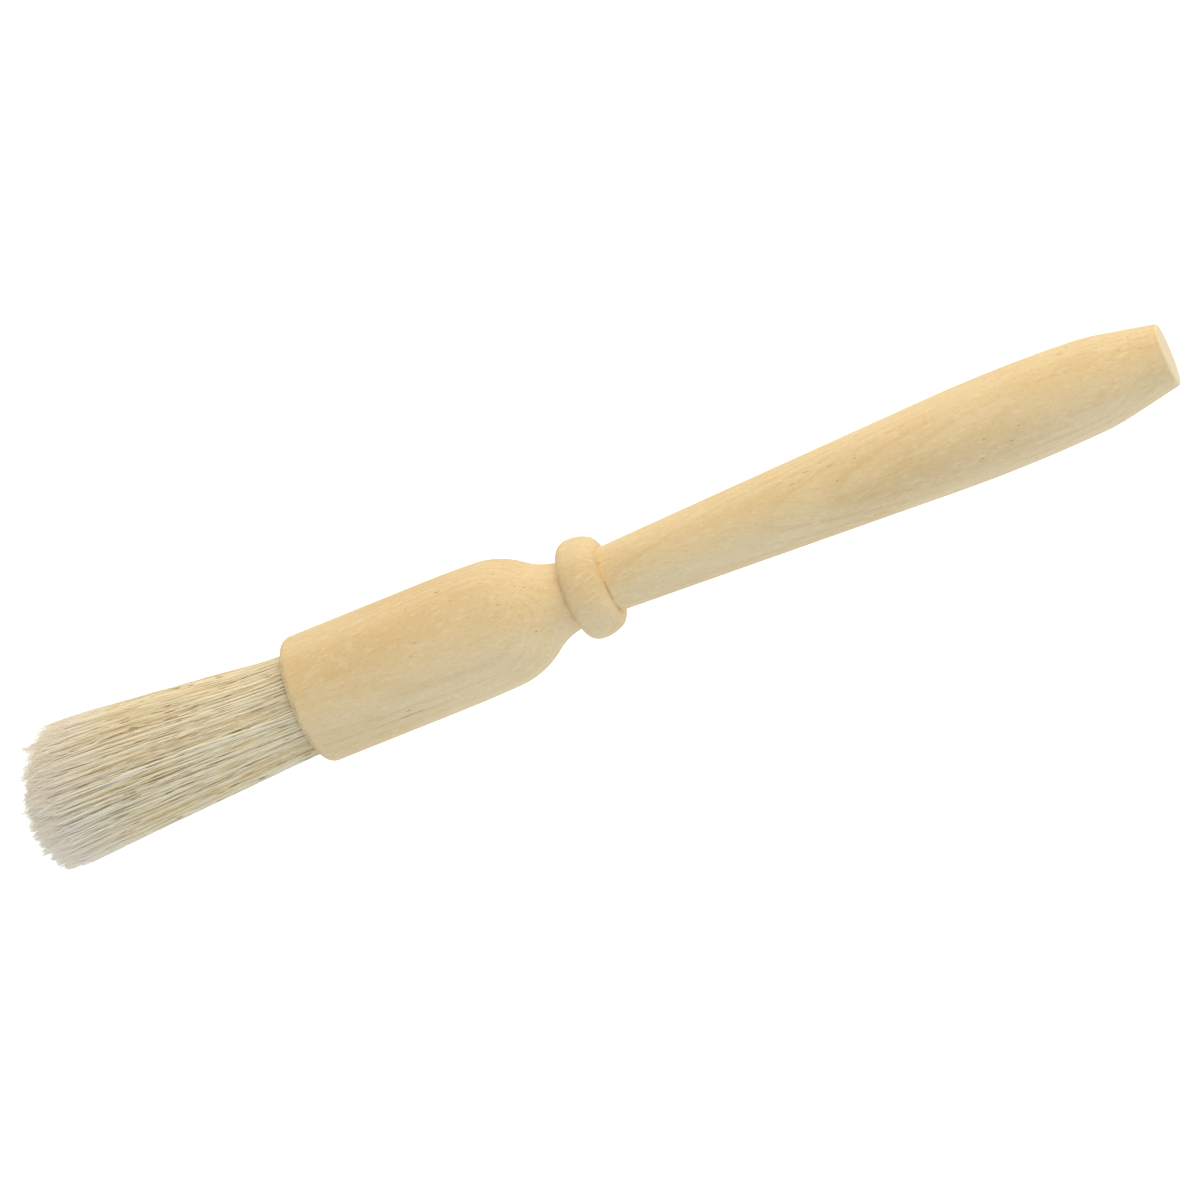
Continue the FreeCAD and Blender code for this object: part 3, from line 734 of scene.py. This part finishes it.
def add_softbox(name, place, width, power, colour):
    """A soft panel at this place, turned towards the middle of the brush."""
    light = bpy.data.lights.new(name, "AREA")
    light.shape = "RECTANGLE"
    light.size, light.size_y = width, width * SOFTBOX_SHAPE
    light.energy = power
    light.color = colour
    holder = bpy.data.objects.new(name, light)
    holder.location = place
    holder.rotation_euler = (middle - Vector(place)).to_track_quat("-Z", "Y").to_euler()
    bpy.context.scene.collection.objects.link(holder)


def make_world():
    world = bpy.data.worlds.new("studio")
    world.use_nodes = True
    tree = world.node_tree
    background = tree.nodes["Background"]
    background.inputs["Color"].default_value = WORLD_COLOUR
    seen = tree.nodes.new("ShaderNodeLightPath").outputs["Is Camera Ray"]
    glow = tree.nodes.new("ShaderNodeMath")
    glow.operation = "MULTIPLY_ADD"
    tree.links.new(seen, glow.inputs[0])
    glow.inputs[1].default_value = SEEN_GLOW
    glow.inputs[2].default_value = WORLD_GLOW
    tree.links.new(glow.outputs[0], background.inputs["Strength"])
    bpy.context.scene.world = world


def make_camera():
    """Looks down on the brush, from the butt's side, turned as in a catalogue picture."""
    forward = Vector((math.sin(CAMERA_TILT), 0, -math.cos(CAMERA_TILT)))
    along = Vector((math.cos(CAMERA_TILT), 0, math.sin(CAMERA_TILT)))
    across = Vector((0, 1, 0))
    right = -math.cos(PICTURE_ANGLE) * along + math.sin(PICTURE_ANGLE) * across
    up = -math.sin(PICTURE_ANGLE) * along - math.cos(PICTURE_ANGLE) * across
    data = bpy.data.cameras.new("camera")
    data.lens = LENS
    data.sensor_width = SENSOR_WIDTH
    data.clip_start = NEAREST_SEEN
    camera = bpy.data.objects.new("camera", data)
    turn = Matrix((right, up, -forward)).transposed().to_4x4()
    camera.matrix_world = Matrix.Translation(PICTURE_CENTRE - CAMERA_DISTANCE * forward) @ turn
    bpy.context.scene.collection.objects.link(camera)
    bpy.context.scene.camera = camera


def main():
    paint_nodes()
    make_bristles()
    make_floor()
    for softbox in SOFTBOXES:
        add_softbox(*softbox)
    make_world()
    make_camera()
    scene = bpy.context.scene
    scene.view_settings.view_transform = "Standard"
    # light has to pass from hair to hair many times before pale bristle looks pale
    scene.cycles.diffuse_bounces = 10
    scene.cycles.max_bounces = 14


main()
